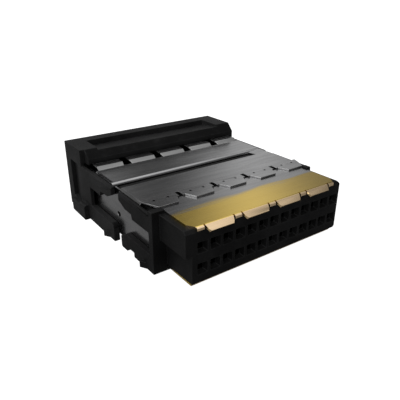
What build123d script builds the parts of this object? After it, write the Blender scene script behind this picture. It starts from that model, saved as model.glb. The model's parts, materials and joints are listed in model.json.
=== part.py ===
from build123d import *
import math
import os

# Shielded cable connector housing with two rows of socket contacts.
# Lengths are in millimetres. While the pieces are made, X runs along the rows, Y runs
# rearwards from the mating face and Z runs up from the underside of the nose.

# Contact pattern
columns = 13
column_pitch = 2.0
row_pitch = 3.0
pattern_shift = 0.7  # the keyed side has the thicker wall
lower_row_height = 1.95
roof = 2.7  # from the upper row to the top of the nose
end_wall = 0.5

# Lead-in funnels and contact chambers
funnel_width = 1.62
throat_width = 0.8
funnel_depth = 0.55
throat_length = 0.2
chamber_width = 1.3
chamber_height = 1.4

# Nose that enters the mating header
nose_length = 5.8
nose_chamfer = 0.4
side_chamfer = 0.25
key_recess = 0.95
key_height = 4.0
body_length = 6.7
body_drop = 0.05

# Collar and arms outside the shells
collar_step = 1.15
collar_length = 1.0
underside = -0.9
window_bottom = 1.8
window_height = 3.2
arm_wall = 0.55
corner_block_rise = 0.5
arm_step = 0.7
arm_step_slant = 0.18
arm_step_place = 3.85
arm_rise = 0.1
arm_gap = 2.05
arm_tip_depth = 1.15
arm_tip_slant = 1.85
lower_tip_height = 0.9
lower_tip_slant = 1.7
arm_round = 0.3
arm_chamfer = 0.2
foot_notch_place = 3.85
foot_notch_length = 1.4
foot_notch_height = 0.7
nub_reach = 0.6
nub_length = 1.05
nub_height = 1.0
nub_setback = 0.8

# Sheet metal
sheet = 0.25
bend_radius = 0.4
fit_gap = 0.03
shield_side = 0.91  # how far the shield stays inside the nose's sides
shield_setback = 0.2
shield_corner = 1.15
tab_period = 5.84
slit_width = 0.22
slit_depth = 0.25
large_tab_taper = 0.25
large_tab_length = 1.05
small_tab_width = 1.07
small_tab_length = 0.3
tab_slope = 38.0
tab_fold = 0.1
tab_corner = 0.2
lid_setback = 0.1
tongue_front_width = 3.0
tongue_back_width = 4.5
tongue_length = 1.6
tongue_corner = 0.8  # how far the outer tongues widen towards the sides
raised_length = 2.9
slot_width = 0.65
slot_length = 1.4
dimple_radius = 0.2
dimple_depth = 0.12
dimple_spacing = 2.2
dimple_setback = 2.05
lid_gap = 2.05  # open groove between the two lids
bridge_width = 2.6  # strip that closes the groove at its right end
flange_depth = 1.15
front_fold_radius = 0.5
front_fold_height = 0.95
rear_lid_setback = 0.7
flat_length = 6.05
flare_length = 0.8
flare_rise = 0.38
rear_tab_length = 1.65
rear_tab_inset = 0.6
notch_front_width = 1.5
notch_back_width = 1.2
latch_hole_length = 1.0
latch_hole_width = 0.75
latch_hole_height = 3.4
latch_hole_setback = 0.2

# Contact retainer
retainer_gap = 0.4
retainer_hole_width = 1.3
retainer_hole_height = 1.4

# Contacts
contact_front = 0.85
contact_width = 1.2
contact_height = 1.3
contact_wall = 0.15
socket_length = 5.0
neck_length = 4.2
crimp_length = 8.0
crimp_height = 1.05
beam_mouth = 0.62
beam_throat = 0.34
beam_length = 3.2
beam_height = 0.7
beam_setback = 0.6
beam_root = 0.5

# Rear cover, measured from its own front tips and from the rear face
depth = 34.75
cover_length = 17.55
cover_step = 0.12  # how far its sides stand outside the front housing's
cover_underside = -1.1
rear_window_length = 7.9
rear_step_place = 3.8
rear_tip_slant = 1.5
block_length = 6.65
block_rise = 2.62
visor_reach = 1.3
visor_lip = 0.4
slot_rise = 0.22
cheek = 0.3
pillar_width = 0.85
bottom_wall_length = 8.45
cavity_gap = 0.05
rear_wall = 2.2
grip_half_width = 12.05
rear_land = 2.2
grip_depth = 1.0
grip_lip = 0.2
pocket_length = 3.9
pocket_land = 2.1
pocket_depth = 0.8
pocket_wall = 0.7
pocket_bottom = 1.1
pocket_height = 6.5
foot_reach = 0.85
foot_length = 5.35
foot_land = 3.0
foot_height = 2.6
foot_chamfer = 0.3
rear_nub_setback = 1.55

# Cable outlet and ferrule
outlet_radius = 2.6
outlet_height = 3.1
outlet_chamfer = 0.3
ferrule_clearance = 0.2
ferrule_wall = 0.5
ferrule_length = 4.6
boss_wall = 1.5
tray_rear_gap = 6.35
seat_gap = 0.02

# Places that follow from the sizes above
upper_row_height = lower_row_height + row_pitch
nose_height = upper_row_height + roof
middle_height = nose_height / 2
nose_half_width = (columns - 1) / 2 * column_pitch + pattern_shift + chamber_width / 2 + end_wall
outer_half_width = nose_half_width + collar_step
cover_half_width = outer_half_width + cover_step
lid_half_width = outer_half_width - arm_wall - fit_gap
tray_half_width = lid_half_width - sheet
tray_inner = tray_half_width - sheet
arm_inner = lid_half_width + fit_gap
shield_half_width = nose_half_width - shield_side
window_top = window_bottom + window_height
arm_tip_height = nose_height - arm_tip_depth
shell_top = nose_height + sheet
raised_top = shell_top + sheet
tray_top = nose_height - bend_radius / 2
corner_block_bottom = tray_top + fit_gap
lid_flange_bottom = nose_height - flange_depth
collar_end = nose_length + collar_length
body_end = nose_length + body_length
shell_front = collar_end + lid_setback
raised_end = shell_front + raised_length
slot_front = shell_front + tongue_length
dimple_place = shell_front + dimple_setback
shield_length = raised_end - slot_length / 2 + shield_setback
cover_front = depth - cover_length
rear_window_end = cover_front + rear_window_length
rear_lid_front = cover_front + rear_lid_setback
front_lid_end = rear_lid_front - lid_gap
flare_start = rear_lid_front + flat_length
flare_end = flare_start + flare_length
rear_lid_end = flare_end + rear_tab_length
arm_tip = cover_front - arm_gap
retainer_start = body_end + fit_gap
retainer_end = rear_lid_front - retainer_gap
retainer_top = tray_top
latch_hole_place = cover_front - latch_hole_setback
block_front = depth - block_length
cover_top = nose_height + block_rise
slot_top = shell_top + slot_rise
visor_height = slot_top + visor_lip
tray_end = depth - tray_rear_gap
bottom_wall_front = depth - bottom_wall_length
cavity_end = depth - rear_wall
pocket_rear = depth - pocket_land
foot_rear = depth - foot_land
ferrule_bore = outlet_radius + ferrule_clearance
ferrule_radius = ferrule_bore + ferrule_wall
boss_half_width = ferrule_radius + boss_wall
seat_front = tray_end + cavity_gap
seat_end = seat_front + ferrule_length
tab_reach = large_tab_length * math.cos(math.radians(tab_slope)) - tab_fold
# The origin is the middle of the outline's floor plan, on the surface that it stands on.
home = Location((0, -(depth - tab_reach) / 2, -cover_underside))

past = 1.0  # how far a cutter runs beyond the surface that it opens
near = 0.01  # how close to a plane an edge is counted as lying on it
root = 0.2  # how far an added form reaches into the one that carries it


def column_places():
    first = pattern_shift - (columns - 1) / 2 * column_pitch
    return [first + i * column_pitch for i in range(columns)]


def contact_places():
    rows = {"upper": upper_row_height, "lower": lower_row_height}
    return {
        f"contact_{row}_{i + 1:02d}": (x, height)
        for row, height in rows.items()
        for i, x in enumerate(column_places())
    }


def block(x, y, z):
    """A box between two values on each axis."""
    size = (x[1] - x[0], y[1] - y[0], z[1] - z[0])
    centre = ((x[0] + x[1]) / 2, (y[0] + y[1]) / 2, (z[0] + z[1]) / 2)
    return Pos(*centre) * Box(*size)


def seen_from_top(points, z):
    """An outline in X and Y, given thickness in Z."""
    face = make_face(Polyline(*points, close=True))
    return extrude(Pos(0, 0, z[0]) * face, amount=z[1] - z[0])


def seen_from_side(outline, x):
    """A face in Y and Z, given width in X."""
    return extrude(Plane.YZ.offset(x[0]) * outline, amount=x[1] - x[0])


def seen_from_front(outline, y):
    """A face in X and Z, given length in Y."""
    return extrude(Plane.XZ.offset(-y[0]) * outline, amount=y[0] - y[1])


def strip(points, radius):
    """The section of a bent sheet whose outer skin follows the points."""
    outer = FilletPolyline(*points, radius=radius)
    return make_face(offset(outer, amount=sheet, side=Side.RIGHT, kind=Kind.INTERSECTION))


def both_sides(half):
    return half + mirror(half, about=Plane.YZ)


def flipped(part):
    """The same form turned over for the underside."""
    return mirror(part, about=Plane.XY.offset(middle_height))


def edges_at(part, y):
    """The edges along X that lie on one plane across Y."""
    return part.edges().filter_by(Axis.X).filter_by_position(Axis.Y, y - near, y + near)


def nose():
    left = -nose_half_width
    recessed = left + key_recess
    section = Polyline(
        (recessed, 0),
        (nose_half_width, 0),
        (nose_half_width, nose_height),
        (left, nose_height),
        (left, key_height),
        (recessed, key_height),
        close=True,
    )
    body = seen_from_front(make_face(section), (0, nose_length))
    body = chamfer(edges_at(body, 0).sort_by(Axis.Z)[-1:], nose_chamfer)
    right = body.edges().filter_by(Axis.Y).filter_by(lambda e: e.center().X > nose_half_width - near)
    return chamfer(right, side_chamfer)


def collar():
    """The step behind the nose, with a bar under it that holds the lower shield."""
    wide = outer_half_width
    plan = [
        (-wide, nose_length),
        (nose_half_width, nose_length),
        (wide, collar_end),
        (-wide, collar_end),
    ]
    slot_half = shield_half_width + fit_gap
    slot = block((-slot_half, slot_half), (nose_length - past, collar_end + past), (-sheet - fit_gap, 0))
    return seen_from_top(plan, (underside, nose_height)) - slot


def corner_blocks():
    """Raised plastic in front of the two ends of the front lid."""
    inner = shield_half_width + 2 * fit_gap
    y = (nose_length, shell_front - fit_gap)
    z = (corner_block_bottom, nose_height + corner_block_rise)
    return block((-outer_half_width, -inner), y, z) + block((inner, nose_half_width), y, z)


def top_edge_cut(side, y):
    """What the chamfer along the outer top edge of an arm takes off."""
    section = Polyline(
        (side - past, nose_height - arm_chamfer - past),
        (side + arm_chamfer + past, nose_height + past),
        (side - past, nose_height + past),
        close=True,
    )
    return seen_from_front(make_face(section), y)


def front_arms():
    step = arm_tip - arm_step_place
    upper = Polyline(
        (collar_end, window_top),
        (step, window_top),
        (step + arm_step_slant, window_top + arm_step),
        (arm_tip - arm_tip_slant, window_top + arm_step + arm_rise),
        (arm_tip, arm_tip_height),
        (arm_tip, nose_height),
        (collar_end, nose_height),
        close=True,
    )
    notch = arm_tip - foot_notch_place
    lower = Polyline(
        (collar_end, underside),
        (notch, underside),
        (notch, underside + foot_notch_height),
        (notch + foot_notch_length, underside + foot_notch_height),
        (notch + foot_notch_length + foot_notch_height, underside),
        (arm_tip, underside),
        (arm_tip, lower_tip_height),
        (arm_tip - lower_tip_slant, window_bottom),
        (collar_end, window_bottom),
        close=True,
    )
    upper_arm = seen_from_side(make_face(upper), (-outer_half_width, -arm_inner))
    upper_arm = fillet(edges_at(upper_arm, arm_tip).sort_by(Axis.Z)[:1], arm_round)
    upper_arm -= top_edge_cut(-outer_half_width, (collar_end, arm_tip + past))
    lower_arm = seen_from_side(make_face(lower), (-outer_half_width, -tray_half_width - fit_gap))
    lower_arm = fillet(edges_at(lower_arm, arm_tip), arm_round)
    return both_sides(upper_arm + lower_arm + nub(collar_end + nub_setback, underside))


def nub(y, bottom):
    """A snap nose: a ramp that ends in a square catch."""
    side = -outer_half_width
    end = y + nub_length
    plan = [(side + root, y), (side, y), (side - nub_reach, end), (side + root, end)]
    return seen_from_top(plan, (bottom, bottom + nub_height))


def contact_chambers():
    """The square lead-in, throat and chamber of one way, repeated over the pattern."""
    taper = math.degrees(math.atan((funnel_width - throat_width) / 2 / funnel_depth))
    funnel = extrude(Plane.XZ * Rectangle(funnel_width, funnel_width), amount=-funnel_depth, taper=taper)
    half_throat = throat_width / 2
    chamber_start = funnel_depth + throat_length
    throat = block((-half_throat, half_throat), (funnel_depth - root, chamber_start + root),
                   (-half_throat, half_throat))
    chamber = block((-chamber_width / 2, chamber_width / 2), (chamber_start, body_end + past),
                    (-chamber_height / 2, chamber_height / 2))
    way = funnel + throat + chamber
    return [Pos(x, 0, z) * way for x, z in contact_places().values()]


def front_housing():
    body = block((-nose_half_width, nose_half_width), (nose_length, body_end),
                 (0, nose_height - body_drop))
    body = chamfer(body.edges().filter_by(Axis.Y), side_chamfer)
    part = nose() + collar() + body + corner_blocks() + front_arms()
    return part - contact_chambers()


def contact_retainer():
    """The insert that locks the contacts from behind."""
    body = block((-nose_half_width, nose_half_width), (retainer_start, retainer_end),
                 (body_drop, retainer_top))
    body = chamfer(body.edges().filter_by(Axis.Y), side_chamfer)
    half_width = retainer_hole_width / 2
    half_height = retainer_hole_height / 2
    hole = block((-half_width, half_width), (body_end, retainer_end + past),
                 (-half_height, half_height))
    return body - [Pos(x, 0, z) * hole for x, z in contact_places().values()]


def shield_plate(profile):
    """The plate of a ground shield with its rear notches."""
    plate = seen_from_side(profile, (-shield_half_width, shield_half_width))
    return plate - [rear_notch(i) for i in range(4)]


def tab_slit():
    """The slit at the right of a small tab, with the taper of the large tab beside it."""
    left = small_tab_width / 2
    right = left + slit_width
    tip = right + large_tab_taper
    front = -tab_reach - past
    plan = [(left, front), (left, slit_depth), (right, slit_depth), (right, 0),
            (tip, tab_corner - tab_reach), (tip + tab_corner, -tab_reach), (tip + tab_corner, front)]
    return seen_from_top(plan, (nose_height - past, shell_top + past))


def tab_gaps():
    """What is cut away in front of the small tabs and beside them."""
    half = small_tab_width / 2
    stub = tab_fold - small_tab_length * math.cos(math.radians(tab_slope))
    before = block((-half, half), (-tab_reach - past, stub), (nose_height - past, shell_top + past))
    slits = {1: tab_slit(), -1: mirror(tab_slit(), about=Plane.YZ)}
    cuts = []
    for i in range(-2, 3):
        place = Pos(i * tab_period, 0, 0)
        cuts.append(place * before)
        cuts += [place * slit for side, slit in slits.items() if side * i < 2]
    return cuts


def shield_corner_cut():
    """The slanted front corner outside the last small tab."""
    side = -shield_half_width
    tab_side = -2 * tab_period - small_tab_width / 2
    front = -tab_reach - past
    plan = [(side, tab_fold + shield_corner), (side - past, tab_fold + shield_corner),
            (side - past, front), (tab_side, front), (tab_side, tab_fold)]
    return seen_from_top(plan, (nose_height - past, shell_top + past))


def upper_shield():
    """Shield on top of the nose, with large and small spring tabs bent over its front."""
    slope = math.radians(tab_slope)
    tip = (tab_fold - large_tab_length * math.cos(slope), shell_top - large_tab_length * math.sin(slope))
    profile = strip([tip, (tab_fold, shell_top), (shield_length, shell_top)], bend_radius)
    return shield_plate(profile) - tab_gaps() - both_sides(shield_corner_cut())


def lower_shield():
    """Flat shield under the nose, its front edge just behind the mating face."""
    profile = Polyline(
        (shield_setback, nose_height),
        (shield_length, nose_height),
        (shield_length, shell_top),
        (shield_setback, shell_top),
        close=True,
    )
    return flipped(shield_plate(make_face(profile)))


def gap_centre(i):
    return (i - 1.5) * tab_period


def rear_notch(i):
    """An opening of the shield's rear edge that lies under a slot of the lid."""
    x = gap_centre(i)
    half = slot_width / 2 + fit_gap
    return block((x - half, x + half), (slot_front - fit_gap, shield_length + past),
                 (nose_height - past, shell_top + past))


def lid_slots():
    return [block((gap_centre(i) - slot_width / 2, gap_centre(i) + slot_width / 2),
                  (slot_front, slot_front + slot_length), (nose_height - past, raised_top + past))
            for i in range(4)]


def tongue_outline():
    """Plan of the raised front strip: five tongues with open gaps between them."""
    back = slot_front
    narrow = tongue_front_width / 2
    wide = tongue_back_width / 2
    end = 2 * tab_period + narrow
    corner = [(end, shell_front)]
    corner += [(end + tongue_corner * share, shell_front + tongue_length * share) for share in (0.4, 0.8)]
    corner.append((lid_half_width, raised_end))
    points = [(-x, y) for x, y in reversed(corner[1:])]
    for i in range(5):
        x = (i - 2) * tab_period
        if i > 0:
            points.append((x - wide, back))
        points += [(x - narrow, shell_front), (x + narrow, shell_front)]
        if i < 4:
            points.append((x + wide, back))
    return points + corner[1:]


def tongues():
    """The strip that lies on the shield, one sheet higher than the rest of the lid."""
    return seen_from_top(tongue_outline(), (shell_top, raised_top)) - lid_slots()


def dimples():
    """Pairs of small dents, one pair on each tongue."""
    spots = [(i - 2) * tab_period + side * dimple_spacing / 2 for i in range(5) for side in (-1, 1)]
    outline = RegularPolygon(dimple_radius, 6)
    dent = extrude(Pos(0, dimple_place, raised_top - dimple_depth) * outline, amount=dimple_depth + past)
    return [Pos(x, 0, 0) * dent for x in spots]


def joggle():
    """The slanted web between the raised strip and the plate behind it."""
    web = Polyline((raised_end - sheet, shell_top), (raised_end - sheet, raised_top),
                   (raised_end, raised_top), (raised_end + sheet, shell_top),
                   (raised_end + sheet, nose_height), (raised_end, nose_height), close=True)
    half = lid_half_width - bend_radius
    return seen_from_side(make_face(web), (-half, half))


def lid_channel(y):
    """Top plate with its two side flanges bent down."""
    half = lid_half_width
    section = strip([(-half, lid_flange_bottom), (-half, shell_top), (half, shell_top),
                     (half, lid_flange_bottom)], bend_radius)
    return seen_from_front(section, y)


def front_lid():
    """Front half of the top shell, with a strip that reaches back to the rear half."""
    side = lid_half_width - bend_radius
    bridge = block((side - bridge_width, side), (front_lid_end - root, rear_lid_front - fit_gap),
                   (nose_height, shell_top))
    plate = lid_channel((raised_end, front_lid_end)) + joggle() + tongues() + bridge
    return plate - lid_slots() - dimples()


def rear_tab_notch(i):
    """A notch that parts two of the flared rear tabs."""
    x = gap_centre(i)
    front = notch_front_width / 2
    back = notch_back_width / 2
    end = rear_lid_end + past
    plan = [(x - front, flare_start), (x + front, flare_start), (x + back, flare_end), (x + back, end),
            (x - back, end), (x - back, flare_end)]
    return seen_from_top(plan, (nose_height - past, shell_top + past))


def rear_lid():
    """Rear half of the top shell, with a front fold and tabs that run under the cover."""
    profile = strip([(rear_lid_front, shell_top - front_fold_height), (rear_lid_front, shell_top),
                     (flare_start, shell_top), (flare_end, shell_top + flare_rise),
                     (rear_lid_end, shell_top + flare_rise)],
                    [front_fold_radius, bend_radius, bend_radius])
    fold_end = rear_lid_front + front_fold_radius
    outside = -lid_half_width - past
    fold = seen_from_side(profile, (-lid_half_width, lid_half_width))
    fold -= both_sides(block((outside, -lid_half_width + bend_radius), (fold_end, flare_start + near),
                             (lid_flange_bottom, shell_top + past)))
    fold -= both_sides(block((outside, -lid_half_width + rear_tab_inset),
                             (flare_start, rear_lid_end + past), (lid_flange_bottom, shell_top + past)))
    fold -= both_sides(block((outside, -tray_inner + fit_gap), (rear_lid_front - past, fold_end),
                             (0, tray_top + fit_gap)))
    return fold + lid_channel((fold_end, flare_start)) - [rear_tab_notch(i) for i in range(4)]


def shell_tray():
    """Lower shell: a channel whose walls stand inside the lids' flanges."""
    half = tray_half_width
    section = strip([(half, tray_top), (half, -sheet), (-half, -sheet), (-half, tray_top)], bend_radius)
    channel = seen_from_front(section, (shell_front, tray_end))
    opening = block((-half - past, half + past), (shell_front - past, raised_end), (-past, bend_radius))
    under = flipped(tongues()) + flipped(joggle())
    inner = half - bend_radius
    under &= block((-inner, inner), (0, depth), (-past, past))
    outline = Pos(latch_hole_place, latch_hole_height) * SlotOverall(latch_hole_length, latch_hole_width)
    hole = seen_from_side(outline, (-half - past, half + past))
    return channel - opening + under - hole


def contact():
    """A folded socket: box with two spring beams, neck and open crimp barrel."""
    half = contact_width / 2
    wall = contact_wall
    low = -contact_height / 2
    socket_end = contact_front + socket_length
    neck_end = socket_end + neck_length
    crimp_end = neck_end + crimp_length
    socket = block((-half, half), (contact_front, socket_end), (low, -low))
    socket -= block((-half + wall, half - wall), (contact_front - past, socket_end + past),
                    (low + wall, -low - wall))
    pinch = socket_end - beam_length
    mouth = contact_front + beam_setback
    beam_plan = [(-half + wall / 2, socket_end), (-half + 2 * wall, socket_end),
                 (-beam_throat / 2, pinch), (-beam_mouth / 2, mouth),
                 (-beam_mouth / 2 - wall, mouth), (-beam_throat / 2 - wall, pinch),
                 (-half + wall / 2, socket_end - beam_root)]
    beams = both_sides(seen_from_top(beam_plan, (-beam_height / 2, beam_height / 2)))
    neck = block((-half, half), (socket_end - wall, neck_end + wall), (low, low + wall))
    barrel = block((-half, half), (neck_end, crimp_end), (low, low + crimp_height))
    barrel -= block((-half + wall, half - wall), (neck_end - past, crimp_end + past),
                    (low + wall, low + crimp_height + past))
    return socket + beams + neck + barrel


def rear_arms():
    step = rear_window_end - rear_step_place
    upper = Polyline(
        (rear_window_end, window_top),
        (step, window_top),
        (step - arm_step_slant, window_top + arm_step),
        (cover_front + rear_tip_slant, window_top + arm_step + arm_rise),
        (cover_front, arm_tip_height),
        (cover_front, nose_height),
        (rear_window_end, nose_height),
        close=True,
    )
    lower = Polyline(
        (rear_window_end, cover_underside),
        (cover_front, cover_underside),
        (cover_front, window_bottom),
        (rear_window_end, window_bottom),
        close=True,
    )
    upper_arm = seen_from_side(make_face(upper), (-cover_half_width, -arm_inner))
    upper_arm = fillet(edges_at(upper_arm, cover_front), arm_round)
    upper_arm -= top_edge_cut(-cover_half_width, (cover_front - past, rear_window_end + past))
    lower_arm = seen_from_side(make_face(lower), (-cover_half_width, -tray_half_width - fit_gap))
    tips = edges_at(lower_arm, cover_front).sort_by(Axis.Z)
    lower_arm = fillet(tips[-1:], 3 * arm_round)
    catch = Pos(-cover_step, 0, 0) * nub(cover_front + rear_nub_setback, cover_underside)
    return both_sides(upper_arm + lower_arm + catch)


def cover_block():
    """Solid form of the cover: side walls, raised rear block and the visor over the slot."""
    wide = cover_half_width
    walls = block((-wide, wide), (rear_window_end, depth), (cover_underside, nose_height))
    walls -= both_sides(top_edge_cut(-wide, (rear_window_end - past, block_front)))
    raised = block((-wide, wide), (block_front, depth), (cover_underside, cover_top))
    visor = Polyline(
        (block_front + root, cover_top),
        (block_front, cover_top),
        (block_front - visor_reach, visor_height),
        (block_front - visor_reach, nose_height - root),
        (block_front + root, nose_height - root),
        close=True,
    )
    return walls + raised + seen_from_side(make_face(visor), (-wide + pillar_width, wide))


def cover_cavity():
    """The pocket that takes the rear ends of the shells, open to the front."""
    inside = arm_inner + cavity_gap
    narrow = cover_half_width - pocket_depth - pocket_wall
    floor = -sheet - cavity_gap
    front = cover_front - past
    room = block((-inside, inside), (front, seat_front), (floor, shell_top + cavity_gap))
    room += block((-narrow, narrow), (front, cavity_end), (floor, shell_top + cavity_gap))
    slot_half = cover_half_width - pillar_width - cheek
    room += block((-slot_half, slot_half), (front, block_front), (floor, slot_top))
    boss = block((-boss_half_width, boss_half_width), (seat_front, depth), (floor - past, cover_top))
    below = block((-inside, inside), (rear_window_end - past, bottom_wall_front),
                  (cover_underside - past, floor + near))
    return room - boss + below


def finger_grip():
    """Thumb scoop in the top: steep rear wall, floor rising to the front edge."""
    rear = depth - rear_land
    front = block_front - past
    section = Polyline(
        (rear, cover_top + past),
        (rear, cover_top - grip_depth),
        (front, cover_top - grip_lip),
        (front, cover_top + past),
        close=True,
    )
    return seen_from_side(make_face(section), (-grip_half_width, grip_half_width))


def side_pocket():
    """Scoop in the side wall, deep at the rear and running out to the front."""
    side = -cover_half_width
    plan = [(side - past, pocket_rear - pocket_length), (side, pocket_rear - pocket_length),
            (side + pocket_depth, pocket_rear), (side - past, pocket_rear)]
    return seen_from_top(plan, (pocket_bottom, pocket_bottom + pocket_height))


def side_foot():
    """Guide rail low on the side wall."""
    side = -cover_half_width
    outside = side - foot_reach
    rail = block((outside, side + root), (foot_rear - foot_length, foot_rear),
                 (cover_underside, cover_underside + foot_height))
    outer = rail.edges().filter_by(Axis.Y).filter_by_position(Axis.X, outside - near, outside + near)
    return chamfer(outer.sort_by(Axis.Z)[-1:], foot_chamfer)


def bore(radius, y):
    """A round bore along Y at the height of the cable outlet."""
    circle = Plane.XZ.offset(-y[0]) * Pos(0, outlet_height) * Circle(radius)
    return extrude(circle, amount=y[0] - y[1])


def outlet_mouth():
    wide = outlet_radius + outlet_chamfer
    circle = Plane.XZ.offset(-depth) * Pos(0, outlet_height) * Circle(wide)
    return extrude(circle, amount=outlet_chamfer, taper=45)


def rear_cover():
    part = cover_block() - cover_cavity() + rear_arms() + both_sides(side_foot())
    part -= finger_grip() + both_sides(side_pocket())
    seat = bore(ferrule_radius + seat_gap, (seat_front - past, seat_end))
    return part - seat - bore(outlet_radius, (seat_end - past, depth + past)) - outlet_mouth()


def cable_ferrule():
    """Ring that clamps the cable screen inside the cover's boss."""
    y = (seat_front + seat_gap, seat_end - seat_gap)
    return bore(ferrule_radius, y) - bore(ferrule_bore, y)


def all_parts():
    parts = {
        "front_housing": front_housing(),
        "rear_cover": rear_cover(),
        "contact_retainer": contact_retainer(),
        "front_shield_upper": upper_shield(),
        "front_shield_lower": lower_shield(),
        "shell_lid_front": front_lid(),
        "shell_lid_rear": rear_lid(),
        "shell_tray": shell_tray(),
        "cable_ferrule": cable_ferrule(),
    }
    socket = contact()
    for name, (x, z) in contact_places().items():
        parts[name] = Pos(x, 0, z) * socket
    return parts


os.makedirs("parts", exist_ok=True)
for name, part in all_parts().items():
    export_step(home * part, f"parts/{name}.step")
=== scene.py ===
import json
import math
import bmesh
import bpy
from mathutils import Matrix, Vector


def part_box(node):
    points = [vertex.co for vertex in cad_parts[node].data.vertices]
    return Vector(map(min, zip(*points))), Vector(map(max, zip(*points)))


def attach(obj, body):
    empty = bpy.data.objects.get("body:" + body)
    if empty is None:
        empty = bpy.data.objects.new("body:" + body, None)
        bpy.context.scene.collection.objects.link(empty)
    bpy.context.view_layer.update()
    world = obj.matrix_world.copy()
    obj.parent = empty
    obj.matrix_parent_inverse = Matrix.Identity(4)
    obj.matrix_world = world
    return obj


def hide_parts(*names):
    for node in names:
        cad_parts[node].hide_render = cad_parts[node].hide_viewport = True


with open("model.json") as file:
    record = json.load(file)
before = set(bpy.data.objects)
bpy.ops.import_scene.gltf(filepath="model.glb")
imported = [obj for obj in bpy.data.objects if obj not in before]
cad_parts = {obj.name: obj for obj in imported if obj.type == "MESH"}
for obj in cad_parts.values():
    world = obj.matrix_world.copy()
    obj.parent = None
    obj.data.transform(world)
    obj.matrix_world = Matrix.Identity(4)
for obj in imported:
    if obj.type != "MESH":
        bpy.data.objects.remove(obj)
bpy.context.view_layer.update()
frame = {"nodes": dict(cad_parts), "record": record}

nodes = frame["nodes"]
mm = 0.001
metre = 1000.0  # in millimetres
bumpDistance = 0.01 * mm
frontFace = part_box("front_shield_lower")[0].y  # just behind the mating face
print("frame loaded,", len(nodes), "nodes")


def clearSelection():
    if bpy.context.mode != "OBJECT":
        bpy.ops.object.mode_set(mode="OBJECT")
    bpy.ops.object.select_all(action="DESELECT")


clearSelection()

# Node helpers

def newNode(tree, kind, place, **values):
    node = tree.nodes.new(kind)
    node.location = place
    for name, value in values.items():
        setattr(node, name, value)
    return node


def setInputs(node, **values):
    for name, value in values.items():
        node.inputs[name.replace("_", " ")].default_value = value
    return node


def join(tree, output, target):
    tree.links.new(output, target)
    return output


def newGroup(name, inputs, outputs):
    group = bpy.data.node_groups.new(name, "ShaderNodeTree")
    for label, kind, value in inputs:
        socket = group.interface.new_socket(label, in_out="INPUT", socket_type=kind)
        socket.default_value = value
    for label, kind in outputs:
        group.interface.new_socket(label, in_out="OUTPUT", socket_type=kind)
    start = newNode(group, "NodeGroupInput", (-1000, 0))
    end = newNode(group, "NodeGroupOutput", (900, 0))
    return group, start, end


def mapValue(tree, value, low, high, toLow, toHigh, place):
    node = newNode(tree, "ShaderNodeMapRange", place, interpolation_type="SMOOTHSTEP")
    setInputs(node, From_Min=low, From_Max=high, To_Min=toLow, To_Max=toHigh)
    join(tree, value, node.inputs["Value"])
    return node.outputs["Result"]


def mathNode(tree, operation, first, second, place):
    node = newNode(tree, "ShaderNodeMath", place, operation=operation)
    for socket, value in zip(node.inputs, (first, second)):
        if isinstance(value, (int, float)):
            socket.default_value = value
        else:
            join(tree, value, socket)
    return node.outputs[0]


def mixColor(tree, factor, first, second, place):
    node = newNode(tree, "ShaderNodeMix", place, data_type="RGBA")
    for socket, value in zip((node.inputs[0], node.inputs[6], node.inputs[7]), (factor, first, second)):
        if isinstance(value, (int, float)):
            socket.default_value = value
        elif isinstance(value, tuple):
            socket.default_value = (*value, 1)
        else:
            join(tree, value, socket)
    return node.outputs[2]


# Shared surface effects

def buildMouldGrain():
    tree, start, end = newGroup(
        "mouldGrain",
        [("Grain Size", "NodeSocketFloat", 0.12), ("Patch Size", "NodeSocketFloat", 4.0)],
        [("Grain", "NodeSocketFloat"), ("Patches", "NodeSocketFloat")],
    )
    coordinates = newNode(tree, "ShaderNodeTexCoord", (-1000, -300)).outputs["Object"]
    noises = (("Grain Size", "Grain", 2.0, 200), ("Patch Size", "Patches", 4.0, -200))
    for label, result, detail, y in noises:
        perMetre = mathNode(tree, "DIVIDE", metre, start.outputs[label], (-700, y))
        scaled = newNode(tree, "ShaderNodeVectorMath", (-450, y), operation="SCALE")
        join(tree, coordinates, scaled.inputs[0])
        join(tree, perMetre, scaled.inputs["Scale"])
        noise = newNode(tree, "ShaderNodeTexNoise", (-200, y))
        setInputs(noise, Scale=1.0, Detail=detail, Roughness=0.55)
        join(tree, scaled.outputs["Vector"], noise.inputs["Vector"])
        join(tree, noise.outputs["Fac"], end.inputs[result])
    return tree


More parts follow.
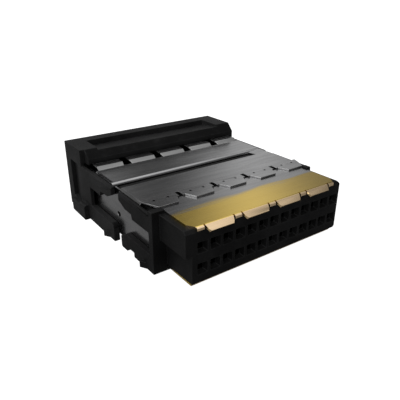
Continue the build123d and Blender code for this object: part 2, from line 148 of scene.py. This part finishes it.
def buildBrushedStreaks():
    tree, start, end = newGroup(
        "brushedStreaks",
        [
            ("Fine", "NodeSocketFloat", 0.12),
            ("Broad", "NodeSocketFloat", 1.3),
            ("Length", "NodeSocketFloat", 9.0),
        ],
        [("Fine Streaks", "NodeSocketFloat"), ("Broad Streaks", "NodeSocketFloat")],
    )
    coordinates = newNode(tree, "ShaderNodeTexCoord", (-1000, -300)).outputs["Object"]
    normal = newNode(tree, "ShaderNodeNewGeometry", (-1000, -600)).outputs["True Normal"]
    split = newNode(tree, "ShaderNodeSeparateXYZ", (-800, -600))
    join(tree, normal, split.inputs[0])
    sideways = mathNode(tree, "ABSOLUTE", split.outputs["X"], 0.0, (-600, -600))
    # the side walls are brushed from front to back
    onSide = mathNode(tree, "GREATER_THAN", sideways, 0.7, (-400, -600))
    along = mathNode(tree, "DIVIDE", metre, start.outputs["Length"], (-800, 300))
    for label, result, y in (("Fine", "Fine Streaks", 300), ("Broad", "Broad Streaks", -200)):
        across = mathNode(tree, "DIVIDE", metre, start.outputs[label], (-600, y))
        found = []
        for alongX in (True, False):
            scale = newNode(tree, "ShaderNodeCombineXYZ", (-400, y - 150 * alongX))
            join(tree, along if alongX else across, scale.inputs["X"])
            join(tree, across if alongX else along, scale.inputs["Y"])
            join(tree, across, scale.inputs["Z"])
            scaled = newNode(tree, "ShaderNodeVectorMath", (-200, y - 150 * alongX), operation="MULTIPLY")
            join(tree, coordinates, scaled.inputs[0])
            join(tree, scale.outputs["Vector"], scaled.inputs[1])
            noise = newNode(tree, "ShaderNodeTexNoise", (0, y - 150 * alongX))
            setInputs(noise, Scale=1.0, Detail=3.0, Roughness=0.6)
            join(tree, scaled.outputs["Vector"], noise.inputs["Vector"])
            found.append(noise.outputs["Fac"])
        chosen = newNode(tree, "ShaderNodeMix", (300, y), data_type="FLOAT")
        join(tree, onSide, chosen.inputs[0])
        join(tree, found[0], chosen.inputs[2])
        join(tree, found[1], chosen.inputs[3])
        join(tree, chosen.outputs[0], end.inputs[result])
    return tree


def buildScuffs():
    tree, start, end = newGroup(
        "scuffs",
        [
            ("Size", "NodeSocketFloat", 1.0),
            ("Amount", "NodeSocketFloat", 0.5),
            ("Cover", "NodeSocketFloat", 0.5),
        ],
        [("Scuff", "NodeSocketFloat")],
    )
    coordinates = newNode(tree, "ShaderNodeTexCoord", (-1000, -200)).outputs["Object"]
    perMetre = mathNode(tree, "DIVIDE", metre, start.outputs["Size"], (-800, 0))
    scaled = newNode(tree, "ShaderNodeVectorMath", (-600, -100), operation="SCALE")
    join(tree, coordinates, scaled.inputs[0])
    join(tree, perMetre, scaled.inputs["Scale"])
    noise = newNode(tree, "ShaderNodeTexNoise", (-400, -100))
    setInputs(noise, Scale=1.0, Detail=5.0, Roughness=0.7)
    join(tree, scaled.outputs["Vector"], noise.inputs["Vector"])
    # the noise level without scuffs, what full cover takes off it, and how soft their rims are
    none, span, softness = 0.75, 0.5, 0.15
    lowered = mathNode(tree, "MULTIPLY", start.outputs["Cover"], span, (-400, 200))
    threshold = mathNode(tree, "SUBTRACT", none, lowered, (-200, 200))
    full = mathNode(tree, "ADD", threshold, softness, (0, 250))
    marks = newNode(tree, "ShaderNodeMapRange", (200, 0))
    join(tree, noise.outputs["Fac"], marks.inputs["Value"])
    join(tree, threshold, marks.inputs["From Min"])
    join(tree, full, marks.inputs["From Max"])
    amount = mathNode(tree, "MULTIPLY", marks.outputs["Result"], start.outputs["Amount"], (450, 0))
    join(tree, amount, end.inputs["Scuff"])
    return tree


def buildFacing():
    # how far the surface faces front or back, which sets painted shade, and how far it slopes to the front,
    # which sets painted sheen on the gold
    tree, start, end = newGroup("facing", [], [("Front Back Shade", "NodeSocketFloat"), ("Slope", "NodeSocketFloat")])
    frontBackFrom, frontBackFull = 0.8, 0.95
    slopeFrom, slopeFull = 0.25, 0.55
    normal = newNode(tree, "ShaderNodeNewGeometry", (-1000, 0)).outputs["True Normal"]
    split = newNode(tree, "ShaderNodeSeparateXYZ", (-800, 0))
    join(tree, normal, split.inputs[0])
    frontOrBack = mathNode(tree, "ABSOLUTE", split.outputs["Y"], 0.0, (-500, 150))
    join(tree, mapValue(tree, frontOrBack, frontBackFrom, frontBackFull, 0.0, 1.0, (-200, 150)), end.inputs["Front Back Shade"])
    forward = mathNode(tree, "MULTIPLY", split.outputs["Y"], -1.0, (-500, -150))
    join(tree, mapValue(tree, forward, slopeFrom, slopeFull, 0.0, 1.0, (-200, -150)), end.inputs["Slope"])
    return tree


mouldGrain = buildMouldGrain()
brushedStreaks = buildBrushedStreaks()
scuffs = buildScuffs()
facing = buildFacing()
print("shared effects built")

# Materials

def newMaterial(name):
    material = bpy.data.materials.new(name)
    material.use_nodes = True
    tree = material.node_tree
    shader = tree.nodes["Principled BSDF"]
    shader.location = (900, 0)
    tree.nodes["Material Output"].location = (1250, 0)
    return material, tree, shader


def placeGroup(tree, group, place, **values):
    node = newNode(tree, "ShaderNodeGroup", place, node_tree=group)
    return setInputs(node, **values)


def placeScuffs(tree, place, settings):
    values = {label: settings["scuff" + label] for label in ("Size", "Amount", "Cover")}
    return placeGroup(tree, scuffs, place, **values)


noiseSpan = {  # the stretch of each noise that goes from dark to light
    "Grain": (0.3, 0.7),
    "Patches": (0.35, 0.65),
    "Fine Streaks": (0.3, 0.7),
    "Broad Streaks": (0.32, 0.7),
}


def spreadNoise(tree, group, label, low, high, place):
    return mapValue(tree, group.outputs[label], *noiseSpan[label], low, high, place)


def addBump(tree, shader, height, strength):
    bump = newNode(tree, "ShaderNodeBump", (650, -350))
    setInputs(bump, Strength=strength, Distance=bumpDistance)
    join(tree, height, bump.inputs["Height"])
    join(tree, bump.outputs["Normal"], shader.inputs["Normal"])


def mouldedPlastic(name, settings):
    material, tree, shader = newMaterial(name)
    shader.inputs["Specular IOR Level"].default_value = settings["gloss"]
    sizes = {"Grain_Size": settings["grainSize"], "Patch_Size": settings["patchSize"]}
    grain = placeGroup(tree, mouldGrain, (-400, 0), **sizes)
    scuff = placeScuffs(tree, (-400, -300), settings)
    patches = spreadNoise(tree, grain, "Patches", 0.0, 1.0, (-150, 100))
    body = mixColor(tree, patches, settings["dark"], settings["light"], (100, 100))
    color = mixColor(tree, scuff.outputs["Scuff"], body, settings["rubbed"], (350, 100))
    join(tree, color, shader.inputs["Base Color"])
    low, high = settings["roughness"]
    rough = spreadNoise(tree, grain, "Grain", low, high, (100, -150))
    join(tree, rough, shader.inputs["Roughness"])
    addBump(tree, shader, grain.outputs["Grain"], settings["grainDepth"])
    return material


def goldAtTheFront(tree, color, streaks, slope, front):
    # the plating ends in a streaky edge, a few millimetres behind the mating face
    coordinates = newNode(tree, "ShaderNodeTexCoord", (-900, 500)).outputs["Object"]
    split = newNode(tree, "ShaderNodeSeparateXYZ", (-700, 500))
    join(tree, coordinates, split.inputs[0])
    ragged = mathNode(tree, "SUBTRACT", streaks.outputs["Broad Streaks"], 0.5, (-450, 450))
    shift = mathNode(tree, "MULTIPLY", ragged, front["ragged"] * mm, (-250, 450))
    place = mathNode(tree, "ADD", split.outputs["Y"], shift, (-50, 500))
    start, end = (frontFace + front[key] * mm for key in ("start", "end"))
    silver = mapValue(tree, place, start, end, 0.0, 1.0, (100, 450))
    gold = mixColor(tree, streaks.outputs["Broad Streaks"], front["dark"], front["light"], (-50, 250))
    left, right = (side * mm for side in front["rightwardFade"])
    rightwardFade = mapValue(tree, split.outputs["X"], left, right, 1.0, front["far"], (-50, 700))
    fadedGold = newNode(tree, "ShaderNodeVectorMath", (50, 300), operation="SCALE")
    join(tree, gold, fadedGold.inputs[0])
    join(tree, rightwardFade, fadedGold.inputs["Scale"])
    # faces that slope to the front take a paler gold: painted sheen
    bent = mixColor(tree, slope, fadedGold.outputs["Vector"], front["bent"], (150, 350))
    return mixColor(tree, silver, bent, color, (300, 250))


def brushedMetal(name, settings):
    material, tree, shader = newMaterial(name)
    shader.inputs["Metallic"].default_value = 1.0
    sizes = {"Fine": settings["fine"], "Broad": settings["broad"], "Length": settings["length"]}
    streaks = placeGroup(tree, brushedStreaks, (-700, 0), **sizes)
    scuff = placeScuffs(tree, (-700, -350), settings)
    sides = placeGroup(tree, facing, (-700, -550))
    broad = spreadNoise(tree, streaks, "Broad Streaks", 0.0, 1.0, (-450, 150))
    color = mixColor(tree, broad, settings["dark"], settings["light"], (-200, 150))
    if "front" in settings:
        color = goldAtTheFront(tree, color, streaks, sides.outputs["Slope"], settings["front"])
    fine = spreadNoise(tree, streaks, "Fine Streaks", settings["fineDark"], 1.0, (-200, -100))
    # faces that look front or back are darkened: painted shade
    shade = mapValue(tree, sides.outputs["Front Back Shade"], 0.0, 1.0, 1.0, settings["cutEdge"], (-200, -300))
    both = mathNode(tree, "MULTIPLY", fine, shade, (100, -150))
    shaded = newNode(tree, "ShaderNodeVectorMath", (350, 50), operation="SCALE")
    join(tree, color, shaded.inputs[0])
    join(tree, both, shaded.inputs["Scale"])
    worn = mixColor(tree, scuff.outputs["Scuff"], shaded.outputs["Vector"], settings["rubbed"], (600, 50))
    join(tree, worn, shader.inputs["Base Color"])
    low, high = settings["roughness"]
    rough = spreadNoise(tree, streaks, "Fine Streaks", low, high, (350, -200))
    join(tree, rough, shader.inputs["Roughness"])
    addBump(tree, shader, streaks.outputs["Fine Streaks"], settings["streakDepth"])
    return material


# sizes in the looks are in millimetres
housingLook = {
    "dark": (0.0058, 0.0058, 0.006),
    "light": (0.0096, 0.0096, 0.0098),
    "rubbed": (0.016, 0.016, 0.0165),
    "gloss": 0.09,
    "grainSize": 0.1,
    "patchSize": 5.0,
    "grainDepth": 0.12,
    "roughness": (0.42, 0.6),
    "scuffSize": 2.5,
    "scuffAmount": 0.25,
    "scuffCover": 0.45,
}
coverLook = {
    **housingLook,
    "dark": (0.012, 0.012, 0.0122),
    "light": (0.018, 0.018, 0.0184),
    "rubbed": (0.03, 0.03, 0.0305),
    "patchSize": 7.0,
}
# a darker black for the front-facing slope of the visor: painted shade
visorShadeLook = {
    **coverLook,
    "dark": (0.0035, 0.0035, 0.0036),
    "light": (0.006, 0.006, 0.0062),
    "gloss": 0.07,
}
# a near-black for the slopes into the contact holes: painted shade in the holes
funnelShadeLook = {
    **housingLook,
    "dark": (0.0015, 0.0015, 0.0015),
    "light": (0.003, 0.003, 0.003),
    "scuffAmount": 0.05,
}
retainerLook = {**housingLook, "light": (0.008, 0.008, 0.008), "scuffAmount": 0.1}
plasticEdge = {
    "dark": (0.009, 0.009, 0.0092),
    "light": (0.015, 0.015, 0.0154),
    "scuffAmount": 0.6,
    "scuffSize": 0.8,
}
steelLook = {
    "dark": (0.365, 0.365, 0.369),
    "light": (0.46, 0.46, 0.464),
    "rubbed": (0.57, 0.57, 0.57),
    "fine": 0.09,
    "broad": 1.1,
    "length": 10.0,
    "fineDark": 0.9,
    "cutEdge": 1.0,
    "roughness": (0.17, 0.25),
    "streakDepth": 0.1,
    "scuffSize": 3.0,
    "scuffAmount": 0.2,
    "scuffCover": 0.4,
}
# softened steel edges: more rubbed, and darkened where they face front or back as painted shade
steelEdge = {
    "dark": (0.36, 0.36, 0.36),
    "light": (0.46, 0.46, 0.46),
    "scuffAmount": 0.5,
    "scuffSize": 0.8,
    "cutEdge": 0.7,
}
# a near-black for the pressed dimples: painted shade in them
dimpleShadeSteel = {
    "dark": (0.004, 0.004, 0.004),
    "light": (0.01, 0.01, 0.01),
    "scuffAmount": 0.0,
    "roughness": (0.4, 0.5),
}
# a darker steel for the front lid's left bend: painted shade
leftBendShadeSteel = {"dark": (0.1, 0.1, 0.1), "light": (0.15, 0.15, 0.15), "scuffAmount": 0.0}
# a darker steel for the flared rear tabs: painted shade
flareShadeSteel = {"dark": (0.24, 0.24, 0.24), "light": (0.31, 0.31, 0.31), "scuffAmount": 0.1}
shieldLook = {
    **steelLook,
    "rubbed": (0.8, 0.66, 0.36),
    "scuffAmount": 0.06,
    "front": {
        "dark": (0.9, 0.63, 0.13),
        "light": (1.0, 0.72, 0.18),
        "far": 0.6,  # darker towards the right, over this stretch
        "rightwardFade": (-3, 13),
        # a paler gold where the bent tabs slope to the front: painted sheen
        "bent": (0.96, 0.72, 0.45),
        "start": 3.6,
        "end": 5.2,
        "ragged": 3.0,
    },
}
# a darker gold for the softened edges of the plating: painted shade that dims their highlights
goldEdgeShade = {"dark": (0.7, 0.53, 0.18), "light": (0.8, 0.62, 0.23), "bent": (0.8, 0.6, 0.36)}
contactLook = {
    **steelLook,
    "dark": (0.1, 0.075, 0.025),
    "light": (0.16, 0.12, 0.045),
    "rubbed": (0.2, 0.15, 0.06),
    "fine": 0.06,
    "broad": 0.7,
    "length": 3.0,
}
ferruleLook = {**steelLook, "dark": (0.42, 0.41, 0.39), "light": (0.56, 0.55, 0.52), "length": 3.0}

slotMaterial = {
    "housing_plastic": mouldedPlastic("housingBlack", housingLook),
    "cover_plastic": mouldedPlastic("coverBlack", coverLook),
    "retainer_plastic": mouldedPlastic("retainerBlack", retainerLook),
    "shield_plating": brushedMetal("shieldGoldAndSilver", shieldLook),
    "shell_steel": brushedMetal("shellSteel", steelLook),
    "contact_plating": brushedMetal("contactGold", contactLook),
    "ferrule_metal": brushedMetal("ferruleNickel", ferruleLook),
}
edgeMaterial = {
    "housing_plastic": mouldedPlastic("housingEdge", {**housingLook, **plasticEdge}),
    "cover_plastic": mouldedPlastic("coverEdge", {**coverLook, **plasticEdge}),
    "shield_plating": brushedMetal(
        "shieldEdge", {**shieldLook, **steelEdge, "front": {**shieldLook["front"], **goldEdgeShade}}
    ),
    "shell_steel": brushedMetal("steelEdge", {**steelLook, **steelEdge}),
}
slotOf = {part["node"]: part["material_slot"] for part in frame["record"]["subparts"]}
for name, node in nodes.items():
    node.data.materials.clear()
    node.data.materials.append(slotMaterial[slotOf[name]])
print("materials on the nodes")

# Pieces with rolled and moulded edges, each in place of the sharp node

edgeRules = {
    "merge": 0.001,  # millimetres
    "flat": 2,  # degrees: faces that meet flatter than this become one
    "turned": 32,  # edges that turn more than this are softened
    "smooth": 40,  # faces are shaded as one surface up to this angle
    "segments": 2,
    "smallEnd": 0.2,  # square millimetres, the largest cut end or dimple that stays crisp
    "endCorners": 8,  # the cut end of a bend has this many corners or more
    "dimpleCorners": 6,
}


def funnelSlope(face):
    # the four slopes that lead into each contact hole, which take painted shade
    atFront = face.calc_center_median().y < frontFace + 1.5 * mm
    small = face.calc_area() < 1.2 * mm * mm
    leans = 0.2 < abs(face.normal.y) < 0.95
    return atFront and small and leans


# the visor's front-facing slope, which takes painted shade
def visorSlope(face):
    facesFront, facesUp = face.normal.y < -0.3, face.normal.z > 0.2
    return facesFront and facesUp


# the flared rear tabs, which take painted shade
def flaredTab(face):
    facesFront, atRear = face.normal.y < -0.3, face.calc_center_median().y > 6.5 * mm
    return facesFront and atRear


# the front lid's left bend, which takes painted shade
def leftBend(face):
    facesLeft, facesUp = face.normal.x < -0.2, face.normal.z > 0.1
    return facesLeft and facesUp


# widths and moves are in millimetres; a move shifts the corners in a box to follow the photograph
frontHousing = {
    "piece": "frontHousingMoulding",
    "width": 0.07,
    "walls": funnelSlope,
    "wallShadeMaterial": mouldedPlastic("funnelShadeBlack", funnelShadeLook),
}
rearCover = {
    "piece": "rearCoverMoulding",
    "width": 0.09,
    "walls": visorSlope,
    "wallShadeMaterial": mouldedPlastic("visorShadeBlack", visorShadeLook),
    "moves": [  # the upper edge of the visor's slope
        {"low": (-16, 9.7, 9.55), "high": (16, 9.85, 9.7), "shift": (0, 0, 0.4)},
    ],
}
upperShield = {"piece": "upperShieldPlate", "width": 0.025}
lowerShield = {"piece": "lowerShieldPlate", "width": 0.025}
frontLid = {
    "piece": "frontLidPlate",
    "width": 0.03,
    "walls": leftBend,
    "wallShadeMaterial": brushedMetal("leftBendShadeSteel", {**steelLook, **leftBendShadeSteel}),
    "dimpleShadeMaterial": brushedMetal("dimpleShadeSteel", {**steelLook, **dimpleShadeSteel}),
    "moves": [  # the strip that bridges the groove at its right end
        {"low": (13.0, -1.2, 8.0), "high": (14.0, 0.86, 9.1), "shift": (-0.6, 0, 0)},
        {"low": (11.0, 0.8, 8.0), "high": (14.0, 0.9, 9.1), "shift": (0, 0, -0.18)},
    ],
}
rearLid = {
    "piece": "rearLidPlate",
    "width": 0.03,
    "crispBehind": 9.3,  # the cut rear ends of the tabs stay plain
    "walls": flaredTab,
    "wallShadeMaterial": brushedMetal("flareShadeSteel", {**steelLook, **flareShadeSteel}),
    "moves": [  # the front right corner
        {"low": (14.0, 0.8, 7.5), "high": (14.5, 1.35, 9.4), "shift": (-0.35, 0, 0)},
    ],
}
tray = {"piece": "trayPlate", "width": 0.03}
edgeWork = {
    "front_housing": frontHousing,
    "rear_cover": rearCover,
    "front_shield_upper": upperShield,
    "front_shield_lower": lowerShield,
    "shell_lid_front": frontLid,
    "shell_lid_rear": rearLid,
    "shell_tray": tray,
}


def shiftCorners(piece, move):
    low, high = (Vector(move[key]) * mm for key in ("low", "high"))
    mesh = bmesh.from_edit_mesh(piece.data)
    for corner in mesh.verts:
        corner.select_set(all(low[i] <= corner.co[i] <= high[i] for i in range(3)))
    bmesh.update_edit_mesh(piece.data)
    bpy.ops.transform.translate(value=Vector(move["shift"]) * mm)


def crispEdges(mesh, hasDimples):
    # the edges round the small cut ends of the bends and round the pressed dimples
    ends, dimples = set(), set()
    for face in mesh.faces:
        if face.calc_area() > edgeRules["smallEnd"] * mm * mm:
            continue
        corners, level = len(face.verts), face.normal.z > 0.95
        dimple = hasDimples and level and corners == edgeRules["dimpleCorners"]
        if dimple or corners >= edgeRules["endCorners"]:
            around = [edge for rim in face.edges for wall in rim.link_faces for edge in wall.edges]
            (dimples if dimple else ends).update(around)
    return ends, dimples


# the dimples and the chosen walls take the darker materials: painted shade
def paintShadedFaces(mesh, settings, dimples):
    for face in mesh.faces:
        if dimples and all(edge in dimples for edge in face.edges):
            face.material_index = 3
        elif "walls" in settings and settings["walls"](face):
            face.material_index = 2


def markEdges(piece, settings):
    bpy.ops.mesh.select_mode(type="EDGE")
    bpy.ops.mesh.select_all(action="DESELECT")
    mesh = bmesh.from_edit_mesh(piece.data)
    ends, dimples = crispEdges(mesh, "dimpleShadeMaterial" in settings)
    paintShadedFaces(mesh, settings, dimples)
    crispFrom = settings.get("crispBehind", math.inf) * mm
    for edge in mesh.edges:
        ahead = min(corner.co.y for corner in edge.verts) < crispFrom
        turned = edge.is_manifold and edge.calc_face_angle() > math.radians(edgeRules["turned"])
        edge.select_set(ahead and turned and edge not in ends and edge not in dimples)
    bmesh.update_edit_mesh(piece.data)
    bpy.ops.transform.edge_bevelweight(value=1.0)


def softenEdges(name, settings):
    clearSelection()
    piece = bpy.data.objects.new(settings["piece"], nodes[name].data.copy())
    bpy.context.collection.objects.link(piece)
    piece.select_set(True)
    bpy.context.view_layer.objects.active = piece
    bpy.ops.object.mode_set(mode="EDIT")
    bpy.ops.mesh.select_mode(type="VERT")
    bpy.ops.mesh.select_all(action="SELECT")
    bpy.ops.mesh.remove_doubles(threshold=edgeRules["merge"] * mm)
    bpy.ops.mesh.dissolve_limited(angle_limit=math.radians(edgeRules["flat"]))
    for move in settings.get("moves", []):
        bpy.ops.mesh.select_all(action="DESELECT")
        shiftCorners(piece, move)
    piece.data.materials.append(edgeMaterial[slotOf[name]])
    for key in ("wallShadeMaterial", "dimpleShadeMaterial"):
        if key in settings:
            piece.data.materials.append(settings[key])
    markEdges(piece, settings)
    bpy.ops.object.mode_set(mode="OBJECT")
    bevel = piece.modifiers.new("softEdge", "BEVEL")
    bevel.width = settings["width"] * mm
    bevel.segments = edgeRules["segments"]
    bevel.limit_method = "WEIGHT"
    bevel.use_clamp_overlap = False
    bevel.material = 1  # the softened edges are rubbed brighter, with painted shade where they face front or back and on the gold
    bpy.ops.object.modifier_apply(modifier="softEdge")
    bpy.ops.object.shade_smooth_by_angle(angle=math.radians(edgeRules["smooth"]))
    even = piece.modifiers.new("evenShading", "WEIGHTED_NORMAL")
    even.keep_sharp = True
    bpy.ops.object.modifier_apply(modifier="evenShading")
    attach(piece, "root")
    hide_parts(name)
    return piece


for name, settings in edgeWork.items():
    piece = softenEdges(name, settings)
    print(piece.name, len(piece.data.polygons), "faces")

# Camera at the photograph's place

cameraView = {
    "place": (-38.884, -54.789, 33.721),  # millimetres in the row frame
    "turn": -35.693,  # degrees
    "height": 24.608,
    "roll": 0.157,
    "lens": 40.194,
}
cameraData = bpy.data.cameras.new("photoCamera")
cameraData.lens = cameraView["lens"]
cameraData.sensor_width = 36
cameraData.clip_start = 0.001
cameraData.clip_end = 10
camera = bpy.data.objects.new("photoCamera", cameraData)
bpy.context.collection.objects.link(camera)
turn = Matrix.Rotation(math.radians(cameraView["turn"]), 4, "Z")
tilt = Matrix.Rotation(math.radians(90 - cameraView["height"]), 4, "X")
roll = Matrix.Rotation(math.radians(cameraView["roll"]), 4, "Z")
place = Matrix.Translation(Vector(cameraView["place"]) * mm)
camera.matrix_world = place @ turn @ tilt @ roll
bpy.context.scene.camera = camera

# Floor and light

studio = {
    "floorSize": 8,
    "floorColor": (0.27, 0.27, 0.27),
    "floorGlow": 1.0,  # lifts the floor to white for the camera alone
    "skyBand": [  # low sky across the view: how far right of the camera's axis, and how bright
        (-0.9, 0.5), (-0.4, 0.4), (-0.25, 0.3), (-0.18, 0.18), (-0.14, 0.1), (-0.07, 0.09), (0.0, 0.26),
        (0.06, 0.53), (0.12, 0.69), (0.2, 0.48), (0.35, 0.14), (0.9, 0.14),
    ],
    "skyTop": 1.0,
    "topFrom": (0.6, 0.86),  # sine of the height where the bright top of the sky begins and is full
    "sunStrength": 1.3,
    "sunAngle": 70,
    "sunFrom": (-0.75, -0.15, 0.65),
}
clearSelection()
bpy.ops.mesh.primitive_plane_add(size=studio["floorSize"], location=(0, 0, 0))
floor = bpy.context.object
floor.name = "floor"
floorMaterial, tree, shader = newMaterial("paleFloor")
shader.inputs["Base Color"].default_value = (*studio["floorColor"], 1)
shader.inputs["Roughness"].default_value = 0.9
shader.inputs["Specular IOR Level"].default_value = 0.0
shader.inputs["Emission Color"].default_value = (1, 1, 1, 1)
seen = newNode(tree, "ShaderNodeLightPath", (300, -400)).outputs["Is Camera Ray"]
glow = mathNode(tree, "MULTIPLY", seen, studio["floorGlow"], (600, -400))
join(tree, glow, shader.inputs["Emission Strength"])
floor.data.materials.append(floorMaterial)

# The low sky is dark behind the object's left and bright behind its right, and white overhead
world = bpy.data.worlds.new("studio")
bpy.context.scene.world = world
world.use_nodes = True
tree = world.node_tree
background = tree.nodes["Background"]
direction = newNode(tree, "ShaderNodeTexCoord", (-900, 0)).outputs["Generated"]
right = turn.to_3x3() @ Vector((1, 0, 0))
dot = newNode(tree, "ShaderNodeVectorMath", (-700, 0), operation="DOT_PRODUCT")
join(tree, direction, dot.inputs[0])
dot.inputs[1].default_value = right
across = mathNode(tree, "MULTIPLY_ADD", dot.outputs["Value"], 0.5, (-450, 0))
across.node.inputs[2].default_value = 0.5
ramp = newNode(tree, "ShaderNodeValToRGB", (-250, 0))
while len(ramp.color_ramp.elements) < len(studio["skyBand"]):
    ramp.color_ramp.elements.new(0.5)
for stop, (side, bright) in zip(ramp.color_ramp.elements, studio["skyBand"]):
    stop.position = 0.5 + side / 2
    stop.color = (bright, bright, bright, 1)
join(tree, across, ramp.inputs["Fac"])
height = newNode(tree, "ShaderNodeSeparateXYZ", (-700, -250))
join(tree, direction, height.inputs[0])
overhead = mapValue(tree, height.outputs["Z"], *studio["topFrom"], 0.0, 1.0, (-450, -250))
sky = mixColor(tree, overhead, ramp.outputs["Color"], (studio["skyTop"],) * 3, (50, 0))
join(tree, sky, background.inputs["Color"])
background.inputs["Strength"].default_value = 1.0

sunLight = bpy.data.lights.new("keySun", "SUN")
sunLight.energy = studio["sunStrength"]
sunLight.angle = math.radians(studio["sunAngle"])
sun = bpy.data.objects.new("keySun", sunLight)
bpy.context.collection.objects.link(sun)
sun.rotation_euler = Vector(studio["sunFrom"]).to_track_quat("Z", "Y").to_euler()

bpy.context.scene.view_settings.view_transform = "Standard"
print("stage ready")
